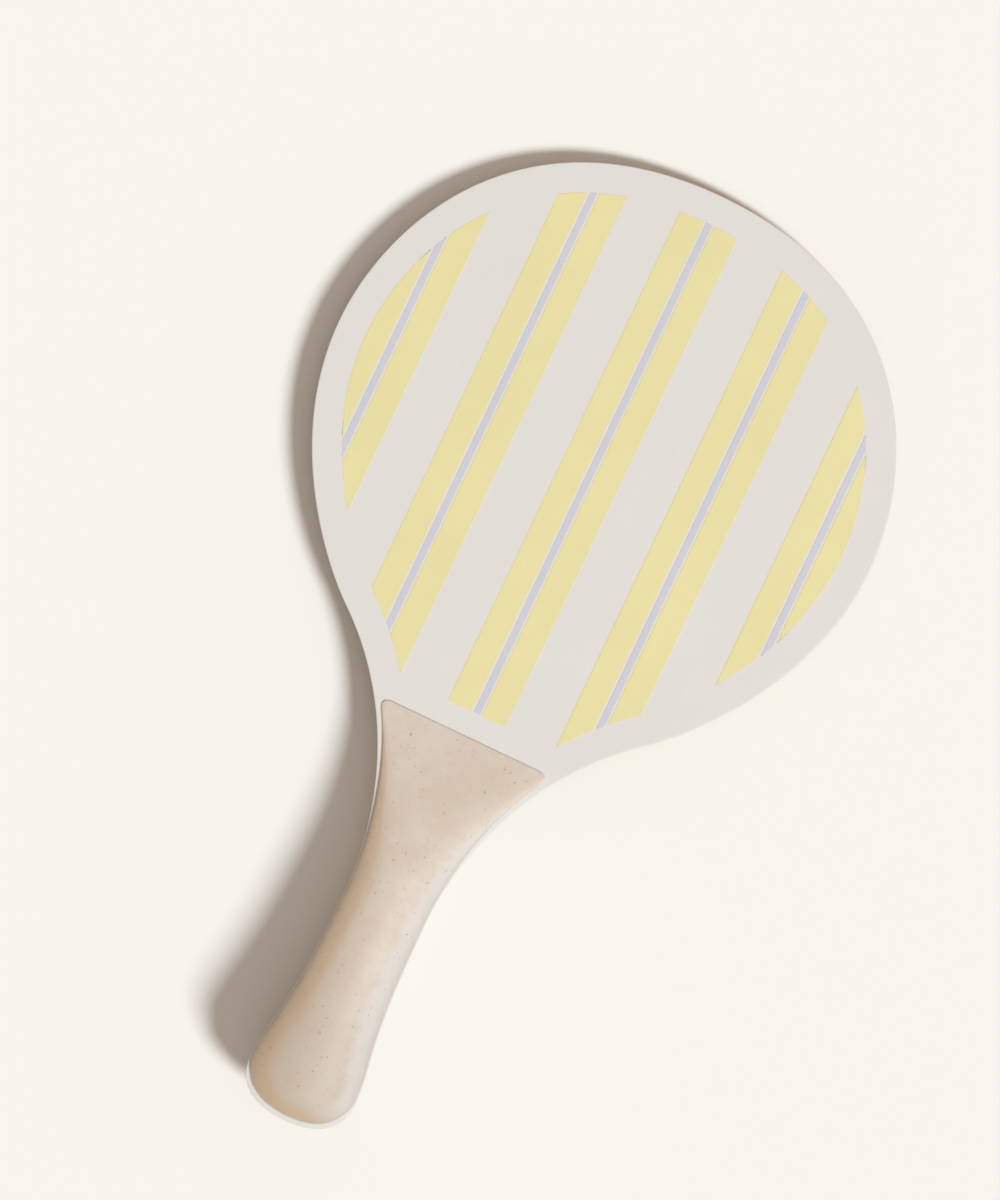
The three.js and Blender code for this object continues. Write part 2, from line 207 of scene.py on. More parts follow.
class RacketFinish(bpy.types.PropertyGroup):
    """Colours of the six finishes."""

    ground: colour("Ground paint", "Off-white paint of the printed face", 225, 219, 212)
    yellow: colour("Yellow ink", "Broad stripes", 232, 220, 160)
    lavender: colour("Lavender ink", "Thin lines", 206, 204, 211)
    birch_light: colour("Birch, light", "Clear wood of the face plies", 231, 211, 181)
    birch_line: colour("Birch, lines", "Late wood in the face plies", 208, 174, 130)
    birch_end: colour("Birch, end grain", "Cut ends of the fibres", 196, 158, 112)
    composite: colour("Grip", "Body of the moulded grips", 219, 206, 191)
    composite_warm: colour("Grip, warm", "Warmer clouds in the grips", 207, 182, 156)
    # A tone that only makes the grips darker towards the butt.
    composite_darker_to_butt: colour("Grip, handled", "Darker from handling, by the butt", 190, 173, 154)
    composite_rosy: colour("Grip, rosy", "Small rosy patches in the grips", 222, 192, 172)
    # Painted shade: a browner tone on the slopes of the grips to the left.
    composite_painted_shade: colour("Grip, brown edge", "Along the left edge of the grips", 202, 166, 116)
    # Painted sheen: a paler tone on the slopes of the grips to the right.
    composite_painted_sheen: colour("Grip, pale edge", "Along the right edge of the grips", 222, 218, 213)
    fleck_dark: colour("Dark flecks", "Husk flecks in the grips", 146, 112, 82)
    fleck_warm: colour("Warm flecks", "Lighter husk flecks in the grips", 178, 132, 88)
    fleck_pale: colour("Pale flecks", "Pale flecks in the grips", 236, 224, 202)


class RacketStage(bpy.types.PropertyGroup):
    """The floor, the light and the camera."""

    backdrop: colour("Backdrop", "Floor and surroundings", 248, 245, 238)
    floor_bounce: share("Floor bounce", "Part of its light that the floor throws back", 0.7)
    floor_radius: length("Floor radius", "Reach of the floor", 12000)
    view_distance: length("View distance", "Camera to the middle of the racket", 1500)
    view_height: length("View height", "Height of the picture at that distance", 447)
    view_turn: angle("View turn", "How far the racket lies over from upright in the picture", 25.4)
    view_shift_x: length("Aim across", "Left of the middle line that the camera aims at", 10.4)
    view_shift_y: length("Aim along", "Above the middle that the camera aims at", 19.1)
    key_height: angle("Key height", "Lamp that lights the racket, above the floor", 66)
    shadow_height: angle("Shadow height", "Lamp that casts the shadow on the floor, above it", 39)
    key_side: angle("Key side", "Lamp's direction in the picture, from its right side down", 45)
    key_spread: angle("Key spread", "Width of each lamp as the racket sees it", 15)
    key_share: share("Key share", "Light that a lamp gives a level face", 0.665)
    key_colour: colour("Key colour", "Colour of both lamps", 241, 250, 255)
    fill_share: share("Fill share", "Light that the surroundings give a level face", 0.412)
    fill_colour: colour("Fill colour", "Colour of the surroundings", 255, 241, 233)
    sheen_height: angle("Sheen height", "Panel that only shows as sheen, above the floor", 22)
    sheen_spread: angle("Sheen spread", "Height of that panel as the racket sees it", 48)
    sheen_colour: colour("Sheen colour", "Colour of that panel", 216, 238, 255)
    sheen_distance: length("Sheen distance", "Racket to that panel", 1500)
    sheen_strength: setting(FloatProperty, "Sheen", "Brightness of that panel", 1.4, min=0)


class RacketSettings(bpy.types.PropertyGroup):
    """Everything that a user would change."""

    outline: PointerProperty(type=RacketOutline)
    board: PointerProperty(type=RacketBoard)
    print: PointerProperty(type=RacketPrint)
    grip: PointerProperty(type=RacketGrip)
    finish: PointerProperty(type=RacketFinish)
    stage: PointerProperty(type=RacketStage)


# Outline

def smoothstep(value, low, high):
    t = np.clip((value - low) / (high - low), 0, 1)
    return t * t * (3 - 2 * t)


def places(racket):
    """Heights along the middle line that several pieces share."""
    outline, grip = racket.outline, racket.grip
    top = outline.bat_length / 2
    widest = top - outline.crown_drop
    turn = widest - outline.shoulder_drop
    neck = turn - outline.throat_drop
    end = -top
    return {
        "top": top, "widest": widest, "turn": turn, "neck": neck, "end": end,
        "butt": end + outline.butt_rise,
        "grip_top": end + grip.butt_margin + grip.grip_length,
    }


def peg_places(racket):
    board = racket.board
    lowest = places(racket)["end"] + board.peg_from_end
    return [lowest + i * board.peg_pitch for i in range(board.peg_count)]


def bat_edge(racket):
    """The right-hand edge from the top down: its points, and which way it faces at each."""
    outline, at = racket.outline, places(racket)
    slope = outline.turn_slope
    knots = [
        ((0, at["top"]), (1, 0)),
        ((outline.head_width / 2, at["widest"]), (0, -1)),
        ((outline.turn_width / 2, at["turn"]), (-math.sin(slope), -math.cos(slope))),
        ((outline.neck_width / 2, at["neck"]), (0, -1)),
        ((outline.butt_width / 2, at["butt"]), (0, -1)),
        ((0, at["end"]), (-1, 0)),
    ]
    arms = [
        outline.crown_arms, outline.shoulder_arms, outline.throat_arms, outline.handle_arms,
        outline.butt_arms,
    ]
    points, outward = [], []
    # An arm is a share of its stretch's width where it is level there, else of its height.
    for i, (leaving, arriving) in enumerate(arms):
        (start, start_runs), (end, end_runs) = [np.array(knot, float) for knot in knots[i:i + 2]]
        span = np.abs(end - start)
        first = start + start_runs * leaving * span[0 if start_runs[1] == 0 else 1]
        second = end - end_runs * arriving * span[0 if end_runs[1] == 0 else 1]
        t = np.linspace(0, 1, outline.steps[i] + 1)[1 if i else 0:, None]
        s = 1 - t
        points.append(s**3 * start + 3 * s * s * t * first + 3 * s * t * t * second + t**3 * end)
        tangent = s * s * (first - start) + 2 * s * t * (second - first) + t * t * (end - second)
        tangent /= np.linalg.norm(tangent, axis=1, keepdims=True)
        outward.append(np.column_stack([-tangent[:, 1], tangent[:, 0]]))
    return np.vstack(points), np.vstack(outward)


def inset(edge, margin):
    """That edge drawn in by a margin, which may be one number or one for each point."""
    points, outward = edge
    moved = points - outward * np.reshape(margin, (-1, 1))
    moved[[0, -1], 0] = 0
    return moved


# Meshes

def soften(mesh):
    """Smooths a mesh but for its real corners."""
    mesh.shade_smooth()
    mesh.set_sharp_from_angle(angle=SHARP_ANGLE)


def mesh_from(name, points, faces):
    """A closed mesh from points and faces."""
    bm = bmesh.new()
    corners = [bm.verts.new(point) for point in points]
    for face in faces:
        bm.faces.new([corners[i] for i in face])
    bmesh.ops.remove_doubles(bm, verts=bm.verts, dist=MERGE_REACH)
    bmesh.ops.dissolve_degenerate(bm, edges=bm.edges, dist=MERGE_REACH)
    bmesh.ops.recalc_face_normals(bm, faces=bm.faces)
    mesh = bpy.data.meshes.new(name)
    bm.to_mesh(mesh)
    bm.free()
    soften(mesh)
    return mesh


def body_through(name, rings):
    """A body through rings, lowest first, each two facing rows of as many points.

    Where the two rows meet at their ends, the faces between them there vanish."""
    size = len(rings[0][0])
    points = [point for rows in rings for row in rows for point in row]
    top = len(points) - 2 * size
    bands = [(0, size), (top, top + size)]
    faces = []
    for low in range(0, top, 2 * size):
        high = low + 2 * size
        bands += [(low, high), (low + size, high + size)]
        for a, b in ((low, high), (low + size - 1, high + size - 1)):
            faces.append((a, a + size, b + size, b))
    for a, b in bands:
        faces += [(a + i, a + i + 1, b + i + 1, b + i) for i in range(size - 1)]
    return mesh_from(name, points, faces)


def plate(name, edge, levels):
    """A plate as wide as the bat, through pairs of a margin from its edge and a height."""
    rings = []
    for margin, z in levels:
        drawn = inset(edge, margin)
        rings.append([[(side * x, y, z) for x, y in drawn] for side in (1, -1)])
    return body_through(name, rings)


def block(name, low, high):
    """A plain block, only for cutting and joining."""
    xs, ys, zs = zip(low, high)
    return body_through(name, [[[(x, y, z) for y in ys] for x in xs] for z in zs])


def full_turn(steps):
    return [2 * math.pi * k / steps for k in range(steps)]


def post(name, y, profile):
    """A round post along Z on the middle line, from its profile as radius and height pairs."""
    turns, steps = full_turn(POST_STEPS), POST_STEPS
    points = [(r * math.cos(t), y + r * math.sin(t), z) for r, z in profile for t in turns]
    faces = [tuple(range(steps)), tuple(range(len(points) - steps, len(points)))]
    for ring in range(0, len(points) - steps, steps):
        for k in range(steps):
            a, b = ring + k, ring + (k + 1) % steps
            faces.append((a, b, b + steps, a + steps))
    return mesh_from(name, points, faces)


def combined(mesh, other, operation):
    """One mesh joined with, cut by or kept within another."""
    base, tool = bpy.data.objects.new("work", mesh), bpy.data.objects.new("tool", other)
    for part in (base, tool):
        bpy.context.scene.collection.objects.link(part)
    modifier = base.modifiers.new("combine", "BOOLEAN")
    modifier.operation = operation
    modifier.solver = "EXACT"
    modifier.object = tool
    graph = bpy.context.evaluated_depsgraph_get()
    made = bpy.data.meshes.new_from_object(base.evaluated_get(graph))
    for part in (base, tool):
        bpy.data.objects.remove(part)
    soften(made)
    return made


def drilled(racket, mesh, low, high):
    """The same holes for the pegs go through every layer of the board and its paint."""
    radius = racket.board.peg_radius + racket.board.peg_clearance
    for y in peg_places(racket):
        hole = post("hole", y, [(radius, low - MM), (radius, high + MM)])
        mesh = combined(mesh, hole, "DIFFERENCE")
    return mesh


def dressed(finish):
    """Name of a finish's material here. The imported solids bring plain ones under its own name."""
    return f"{finish}_dressed"


def place(name, mesh, node, finish):
    """Puts a piece in the scene: it stands for its solid, rides with it and wears its finish."""
    mesh.name = name
    piece = bpy.data.objects.new(name, mesh)
    bpy.context.scene.collection.objects.link(piece)
    mesh.materials.clear()
    mesh.materials.append(bpy.data.materials[dressed(finish)])
    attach(piece, "root")
    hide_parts(node)


# Shader node groups

def feed(tree, socket, value):
    """Links another socket to this one, or sets a number, vector or colour on it."""
    if isinstance(value, bpy.types.NodeSocket):
        tree.links.new(value, socket)
    elif socket.type == "RGBA":
        socket.default_value = (*value, 1)
    else:
        socket.default_value = value


def add_node(tree, kind, values=None, **settings):
    """A node with its settings made and its inputs fed, as its outputs."""
    made = tree.nodes.new(kind)
    for name, value in settings.items():
        setattr(made, name, value)
    for key, value in (values or {}).items():
        feed(tree, made.inputs[key], value)
    return made.outputs


def maths(tree, operation, *values):
    return add_node(tree, "ShaderNodeMath", dict(enumerate(values)), operation=operation)[0]


def vector_maths(tree, operation, *values):
    made = add_node(tree, "ShaderNodeVectorMath", dict(enumerate(values)), operation=operation)
    return made["Value" if operation == "DOT_PRODUCT" else "Vector"]


def drawn_out(tree, vector, share_left):
    """Coordinates in which a pattern runs out long along Y."""
    return vector_maths(tree, "MULTIPLY", vector, (1, share_left, 1))


def split(tree, vector):
    return add_node(tree, "ShaderNodeSeparateXYZ", {0: vector})


def ramp(tree, value, from_low, from_high, to_low=0, to_high=1, smooth=True):
    """A value carried over from one range to another, and kept inside it."""
    kind = "SMOOTHSTEP" if smooth else "LINEAR"
    ends = {"From Min": from_low, "From Max": from_high, "To Min": to_low, "To Max": to_high}
    return add_node(
        tree, "ShaderNodeMapRange", {"Value": value, **ends}, interpolation_type=kind
    )["Result"]


def weighted(tree, *terms):
    """The sum of values, each times its weight."""
    *others, last = terms
    total = maths(tree, "MULTIPLY", *last)
    for term in reversed(others):
        total = maths(tree, "ADD", maths(tree, "MULTIPLY", *term), total)
    return total


def blended(tree, amount, first, second):
    """A colour between two, by an amount of the second."""
    return add_node(tree, "ShaderNodeMix", {0: amount, 6: first, 7: second}, data_type="RGBA")[2]


def layered(tree, under, *layers):
    """A colour with others over it, each with its mask and how far it covers there."""
    for mask, cover, over in layers:
        under = blended(tree, maths(tree, "MULTIPLY", mask, cover), under, over)
    return under


def noise(tree, vector, per_metre, detail=2, roughness=0.5, distortion=0):
    values = {"Detail": detail, "Roughness": roughness, "Distortion": distortion}
    return add_node(
        tree, "ShaderNodeTexNoise", {"Vector": vector, "Scale": per_metre, **values}
    )["Fac"]


def new_group(name, inputs, outputs):
    """An empty node group with its sockets, as the tree and the two ends inside it."""
    tree = bpy.data.node_groups.new(name, "ShaderNodeTree")
    for direction, sockets in (("INPUT", inputs), ("OUTPUT", outputs)):
        for socket, kind in sockets.items():
            tree.interface.new_socket(
                name=socket, in_out=direction, socket_type="NodeSocket" + kind
            )
    start = tree.nodes.new("NodeGroupInput").outputs
    end = tree.nodes.new("NodeGroupOutput").inputs
    return tree, start, end


def use_group(tree, name, vector, **values):
    """A node group, as its outputs. Its values are named as its sockets are."""
    inputs = {"Vector": vector}
    inputs.update({key.replace("_", " ").capitalize(): value for key, value in values.items()})
    return add_node(tree, "ShaderNodeGroup", inputs, node_tree=bpy.data.node_groups[name])


def flecks_group():
    """Scattered ragged specks: a cell pattern in which some cells hold one speck each."""
    tree, start, end = new_group(
        "Flecks",
        {"Vector": "Vector", "Cells per metre": "Float", "Radius": "Float", "Share": "Float"},
        {"Mask": "Float", "Tone": "Float"},
    )
    vector, per_metre = start["Vector"], start["Cells per metre"]
    sway_cells, core_share = 0.35, 0.55
    finer = maths(tree, "MULTIPLY", per_metre, 5)
    ragged = add_node(tree, "ShaderNodeTexNoise", {"Vector": vector, "Scale": finer, "Detail": 1})
    sway = vector_maths(tree, "SUBTRACT", ragged["Color"], (0.5, 0.5, 0.5))
    swayed = vector_maths(tree, "MULTIPLY", sway, maths(tree, "DIVIDE", sway_cells, per_metre))
    at = vector_maths(tree, "ADD", vector, swayed)
    cells = add_node(tree, "ShaderNodeTexVoronoi", {"Vector": at, "Scale": per_metre})
    random = add_node(tree, "ShaderNodeSeparateColor", {"Color": cells["Color"]})
    shrunk = ramp(tree, random["Green"], 0, 1, 0.35, 1, smooth=False)
    size = maths(tree, "MULTIPLY", start["Radius"], shrunk)
    wavy = ramp(tree, ragged["Fac"], 0.3, 0.7, 0.5, 1.5, smooth=False)
    reach = maths(tree, "MULTIPLY", size, wavy)
    core = maths(tree, "MULTIPLY", reach, core_share)
    spot = ramp(tree, cells["Distance"], core, reach, 1, 0)
    held = maths(tree, "LESS_THAN", random["Red"], start["Share"])
    feed(tree, end["Mask"], maths(tree, "MULTIPLY", spot, held))
    feed(tree, end["Tone"], random["Blue"])


def clouds_group():
    """Soft patches at two scales, from nought to one."""
    tree, start, end = new_group(
        "Clouds",
        {"Vector": "Vector", "Per metre": "Float", "Finer share": "Float"},
        {"Value": "Float"},
    )
    vector, finer = start["Vector"], start["Finer share"]
    broad = noise(tree, vector, start["Per metre"])
    fine = noise(tree, vector, maths(tree, "MULTIPLY", start["Per metre"], 5))
    both = weighted(tree, (broad, maths(tree, "SUBTRACT", 1, finer)), (fine, finer))
    feed(tree, end["Value"], ramp(tree, both, 0.36, 0.64))


def fibre_group():
    """Wood fibre along Y: fine streaks, short pale dashes and rare dark ones."""
    tree, start, end = new_group(
        "Fibre", {"Vector": "Vector"}, {"Streaks": "Float", "Pale": "Float", "Dark": "Float"}
    )
    along = drawn_out(tree, start["Vector"], 0.045)
    fine = noise(tree, along, 1500, detail=3, roughness=0.65)
    broad = noise(tree, along, 260)
    dashes = drawn_out(tree, start["Vector"], 0.22)
    pale = use_group(tree, "Flecks", dashes, cells_per_metre=330, radius=0.11, share=0.35)
    dark = use_group(tree, "Flecks", dashes, cells_per_metre=120, radius=0.045, share=0.3)
    streaks = weighted(tree, (fine, 0.6), (broad, 0.4))
    feed(tree, end["Streaks"], ramp(tree, streaks, 0.35, 0.65))
    feed(tree, end["Pale"], pale["Mask"])
    feed(tree, end["Dark"], dark["Mask"])


def figure_group():
    """The flame figure of peeled birch: lines where the blade crosses a year's growth."""
    tree, start, end = new_group(
        "Birch figure", {"Vector": "Vector"}, {"Line": "Float", "Tone": "Float"}
    )

    years_across = 11  # between the lowest and the highest of the pattern
    least_slope = 0.003  # years in a millimetre, where the pattern is level

    def growth(*step):
        at = vector_maths(tree, "ADD", start["Vector"], step)
        lobes = drawn_out(tree, at, 0.3)
        broad = noise(tree, lobes, 11, detail=1.5, roughness=0.45, distortion=0.35)
        wobble = noise(tree, drawn_out(tree, at, 0.35), 130, roughness=0.55)
        field = weighted(tree, (broad, 1), (wobble, 0.02))
        return broad, maths(tree, "MULTIPLY", field, years_across)

    broad, years = growth(0, 0, 0)
    beside = [growth(*step)[1] for step in ((MM, 0, 0), (0, MM, 0))]
    slopes = [maths(tree, "ABSOLUTE", maths(tree, "SUBTRACT", other, years)) for other in beside]
    slope = maths(tree, "ADD", maths(tree, "ADD", *slopes), least_slope)
    into_year = maths(tree, "FRACT", years)
    # Millimetres to the next line and from the last: the tone climbs slowly and ends sharply.
    ahead = maths(tree, "DIVIDE", maths(tree, "SUBTRACT", 1, into_year), slope)
    behind = maths(tree, "DIVIDE", into_year, slope)
    soft, sharp = ramp(tree, ahead, 0, 5, 0.55, 0), ramp(tree, ahead, 0, 1.2, 1, 0)
    sharp = maths(tree, "MAXIMUM", sharp, ramp(tree, behind, 0, 0.5, 1, 0))
    feed(tree, end["Line"], maths(tree, "MAXIMUM", sharp, soft))
    feed(tree, end["Tone"], ramp(tree, broad, 0.35, 0.65))


# Materials

def new_material(name, shader_values):
    """A material with its shader's inputs, and the coordinates that its patterns run on."""
    material = bpy.data.materials.new(dressed(name))
    material.use_nodes = True
    tree = material.node_tree
    shader = tree.nodes["Principled BSDF"].inputs
    for key, value in shader_values.items():
        feed(tree, shader[key], value)
    return tree, shader, add_node(tree, "ShaderNodeTexCoord")


def surface(tree, shader, tone, rough, height, strength, depth):
    """Gives a shader its colour, its roughness and its fine relief."""
    values = {"Height": height, "Strength": strength, "Distance": depth}
    relief = add_node(tree, "ShaderNodeBump", values)["Normal"]
    for key, value in (("Base Color", tone), ("Roughness", rough), ("Normal", relief)):
        feed(tree, shader[key], value)


def dimmed(base, left):
    return tuple(value * left for value in base)


def paint_film(name, base, roughness, patchiness, dust):
    """Sprayed or printed paint: faint patches, dust, and the wood's fibre showing through."""
    tree, shader, coordinates = new_material(name, {"Specular IOR Level": 0.35})
    at = coordinates["Object"]
    patches = use_group(tree, "Clouds", at, per_metre=28, finer_share=0.3)["Value"]
    streaks = use_group(tree, "Fibre", at)["Streaks"]
    nibs = use_group(tree, "Flecks", at, cells_per_metre=130, radius=0.045, share=0.35)["Mask"]
    specks = use_group(tree, "Flecks", at, cells_per_metre=46, radius=0.014, share=0.25)["Mask"]
    tooth = noise(tree, at, 2400, roughness=0.6)
    film = layered(
        tree, base,
        (patches, 1, dimmed(base, 1 - patchiness)),
        (streaks, 0.35, dimmed(base, 0.955)),
        (specks, dust, linear(176, 160, 138)),
    )
    rough = ramp(tree, tooth, 0.2, 0.8, roughness - 0.05, roughness + 0.07, smooth=False)
    height = weighted(tree, (streaks, 0.35), (tooth, 0.3), (nibs, 1.1))
    surface(tree, shader, film, rough, height, strength=0.35, depth=0.05 * MM)


def birch(name, finish, crossed):
    """Sealed birch: flame figure on the face, and end grain where an edge cuts the fibres."""
    tree, shader, coordinates = new_material(name, {"Specular IOR Level": 0.35})
    at = coordinates["Object"]
    if crossed:
        quarter = {"Vector": at, "Angle": math.pi / 2}
        at = add_node(tree, "ShaderNodeVectorRotate", quarter, rotation_type="Z_AXIS")[0]
    figure = use_group(tree, "Birch figure", at)
    fibre = use_group(tree, "Fibre", at)
    patches = use_group(tree, "Clouds", at, per_metre=22, finer_share=0.4)["Value"]
    pores = noise(tree, at, 3200, roughness=0.6)
    normal = split(tree, coordinates["Normal"])
    edge_on = ramp(tree, maths(tree, "ABSOLUTE", normal["Z"]), 0.35, 0.7, 1, 0)
    cut_ends = maths(tree, "ABSOLUTE", normal["X" if crossed else "Y"])
    ends = maths(tree, "MULTIPLY", edge_on, weighted(tree, (cut_ends, 0.6), (pores, 0.3)))
    body = weighted(tree, (patches, 0.14), (fibre["Streaks"], 0.12), (figure["Tone"], 0.2))
    wood = layered(
        tree, finish.birch_light,
        (body, 1, finish.birch_line),
        (figure["Line"], 0.42, finish.birch_line),
        (fibre["Pale"], 0.45, linear(243, 228, 202)),
        (fibre["Dark"], 0.7, linear(150, 112, 76)),
        (ends, 1, finish.birch_end),
    )
    rough = ramp(tree, fibre["Streaks"], 0, 1, 0.5, 0.64, smooth=False)
    height = weighted(tree, (fibre["Streaks"], 0.7), (fibre["Dark"], -0.8), (pores, -0.2))
    surface(tree, shader, wood, rough, height, strength=0.4, depth=0.05 * MM)


def flecked_composite(name, finish):
    """Moulded husk composite: warm clouds, dark and pale flecks, and a soft sheen.

    Where the dome turns down to the board, a painted shade makes it browner on the slopes to the
    left and towards the butt, and a painted sheen makes it paler on those to the right. The body is
    also darker towards the butt."""
    tree, shader, coordinates = new_material(name, {
        "Specular IOR Level": 0.4, "Subsurface Weight": 0.35, "Subsurface Scale": 2.5 * MM,
        "Subsurface Radius": (1, 0.5, 0.25), "Sheen Weight": 0.35, "Sheen Roughness": 0.4,
        "Sheen Tint": (0.82, 0.91, 1),
    })
    at, normal = coordinates["Object"], coordinates["Normal"]
    clouds = use_group(tree, "Clouds", at, per_metre=60, finer_share=0.35)["Value"]
    mottle = use_group(tree, "Clouds", at, per_metre=170, finer_share=0.3)["Value"]
    toward_butt = ramp(tree, split(tree, at)["Y"], -90 * MM, -190 * MM)

    level = maths(tree, "ABSOLUTE", split(tree, normal)["Z"])
    wander = maths(tree, "MULTIPLY", maths(tree, "SUBTRACT", clouds, 0.5), 0.06)
    upright = maths(tree, "ADD", level, wander)
    facing = vector_maths(tree, "DOT_PRODUCT", normal, (0.85, 0.6, 0))
    left, right = ramp(tree, facing, 0, -0.2), ramp(tree, facing, 0, 0.5)
    # Painted shade on the slopes that face left and towards the butt.
    painted_shade = maths(tree, "MULTIPLY", ramp(tree, upright, 0.98, 0.87), left)
    # Painted sheen on the slopes that face right.
    painted_sheen = maths(tree, "MULTIPLY", ramp(tree, upright, 0.985, 0.88), right)

    crowd = ramp(tree, toward_butt, 0, 1, 0.6, 1, smooth=False)
    small = use_group(tree, "Flecks", at, cells_per_metre=480, radius=0.19, share=0.65)
    large = use_group(tree, "Flecks", at, cells_per_metre=300, radius=0.17, share=crowd)
    pale = use_group(tree, "Flecks", at, cells_per_metre=300, radius=0.12, share=0.3)["Mask"]
    faint, strong = [
        maths(tree, "MULTIPLY", mask, cover)
        for mask, cover in ((small["Mask"], 0.4), (large["Mask"], 0.55))
    ]
    dark = maths(tree, "MAXIMUM", faint, strong)
    husk = blended(tree, large["Tone"], finish.fleck_dark, finish.fleck_warm)
    body = layered(
        tree, finish.composite,
        (clouds, 0.35, finish.composite_warm),
        (mottle, 0.15, finish.composite_rosy),
        # Darker towards the butt.
        (toward_butt, 0.65, finish.composite_darker_to_butt),
        # Painted shade to the left.
        (painted_shade, 0.44, finish.composite_painted_shade),
        # Painted sheen to the right.
        (painted_sheen, 0.55, finish.composite_painted_sheen),
        (pale, 0.5, finish.fleck_pale),
        (dark, 1, husk),
    )
    tooth, waves = noise(tree, at, 1300, roughness=0.6), noise(tree, at, 120)
    rough = ramp(tree, tooth, 0.2, 0.8, 0.45, 0.53, smooth=False)
    height = weighted(tree, (tooth, 0.12), (waves, 1), (maths(tree, "ADD", dark, pale), 0.5))
    surface(tree, shader, body, rough, height, strength=0.35, depth=0.15 * MM)


# Stage

def shader_mix(tree, amount, first, second):
    return add_node(tree, "ShaderNodeMixShader", {0: amount, 1: first, 2: second})[0]


def looked_at(tree, path):
    """One for a ray of the camera, a mirror or glass, nought for a ray of diffuse light."""
    mirrored = maths(tree, "MAXIMUM", path["Is Glossy Ray"], path["Is Transmission Ray"])
    return maths(tree, "MAXIMUM", path["Is Camera Ray"], mirrored)


def floor_material(stage):
    """The pale floor. From underneath it is clear, and then lights the reverse evenly."""
    tree, shader, _ = new_material("floor", {"Roughness": 0.9, "Specular IOR Level": 0})
    path = add_node(tree, "ShaderNodeLightPath")
    bounced = dimmed(stage.backdrop, stage.floor_bounce)
    seen = blended(tree, looked_at(tree, path), bounced, stage.backdrop)
    feed(tree, shader["Base Color"], seen)
    opaque = tree.nodes["Principled BSDF"].outputs[0]
    glow = add_node(tree, "ShaderNodeEmission", {"Strength": FLOOR_GLOW})[0]
    clear = add_node(tree, "ShaderNodeBsdfTransparent")[0]
    back = add_node(tree, "ShaderNodeNewGeometry")["Backfacing"]
    from_below = maths(tree, "GREATER_THAN", path["Transparent Depth"], 0.5)
    both = shader_mix(tree, back, shader_mix(tree, from_below, opaque, glow), clear)
    feed(tree, tree.nodes["Material Output"].inputs["Surface"], both)
    return bpy.data.materials[dressed("floor")]


def light_world(stage):
    """Even light for the racket, and the backdrop's colour for whatever looks past it."""
    world = bpy.data.worlds.new("studio")
    world.use_nodes = True
    tree = world.node_tree
    even = tree.nodes["Background"]
    feed(tree, even.inputs["Color"], stage.fill_colour)
    feed(tree, even.inputs["Strength"], stage.fill_share)
    seen = add_node(tree, "ShaderNodeBackground", {"Color": stage.backdrop, "Strength": 1})[0]
    looking = looked_at(tree, add_node(tree, "ShaderNodeLightPath"))
    mixed = shader_mix(tree, looking, even.outputs[0], seen)
    feed(tree, tree.nodes["World Output"].inputs["Surface"], mixed)
    bpy.context.scene.world = world


# Operators

class RACKET_OT_finishes(bpy.types.Operator):
    """Make the six finishes of the racket"""

    bl_idname = "racket.finishes"
    bl_label = "Finishes"

    def execute(self, context):
        finish = context.scene.racket.finish
        for build in (flecks_group, clouds_group, fibre_group, figure_group):
            build()
        paint_film("ground_paint", finish.ground, roughness=0.52, patchiness=0.02, dust=0.5)
        paint_film("yellow_ink", finish.yellow, roughness=0.48, patchiness=0.03, dust=0.25)
        paint_film("lavender_ink", finish.lavender, roughness=0.48, patchiness=0.03, dust=0.25)
        birch("birch_face", finish, crossed=False)
        birch("birch_cross", finish, crossed=True)
        flecked_composite("flecked_composite", finish)
        return {"FINISHED"}


class RACKET_OT_board(bpy.types.Operator):
    """Lay up the five plies of the bat"""

    bl_idname = "racket.board"
    bl_label = "Plywood board"

    def execute(self, context):
        racket = context.scene.racket
        board, edge = racket.board, bat_edge(racket)
        plies = {
            "rear_face_veneer": "rear_veneer", "rear_cross_ply": "rear_crossband",
            "core_ply": "core", "front_cross_ply": "front_crossband",
            "front_face_veneer": "front_veneer",
        }
        radius, groove = board.edge_round, board.glue_groove
        turns = np.linspace(0, math.pi / 2, board.edge_steps + 1)
        rounded = [(radius * (1 - math.sin(t)), radius * (1 - math.cos(t))) for t in turns]
        grooved = [(groove, 0), (0, groove)]
        for i, (node, name) in enumerate(plies.items()):
            low, high = [corner.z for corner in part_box(node)]
            below = rounded if i == 0 else grooved
            above = rounded if i == len(plies) - 1 else grooved
            levels = [(board.flat_from, low)]
            levels += [(margin, low + rise) for margin, rise in below]
            levels += [(margin, high - rise) for margin, rise in reversed(above)]
            levels.append((board.flat_from, high))
            mesh = drilled(racket, plate(name, edge, levels), low, high)
            place(name, mesh, node, "birch_cross" if i % 2 else "birch_face")
        return {"FINISHED"}


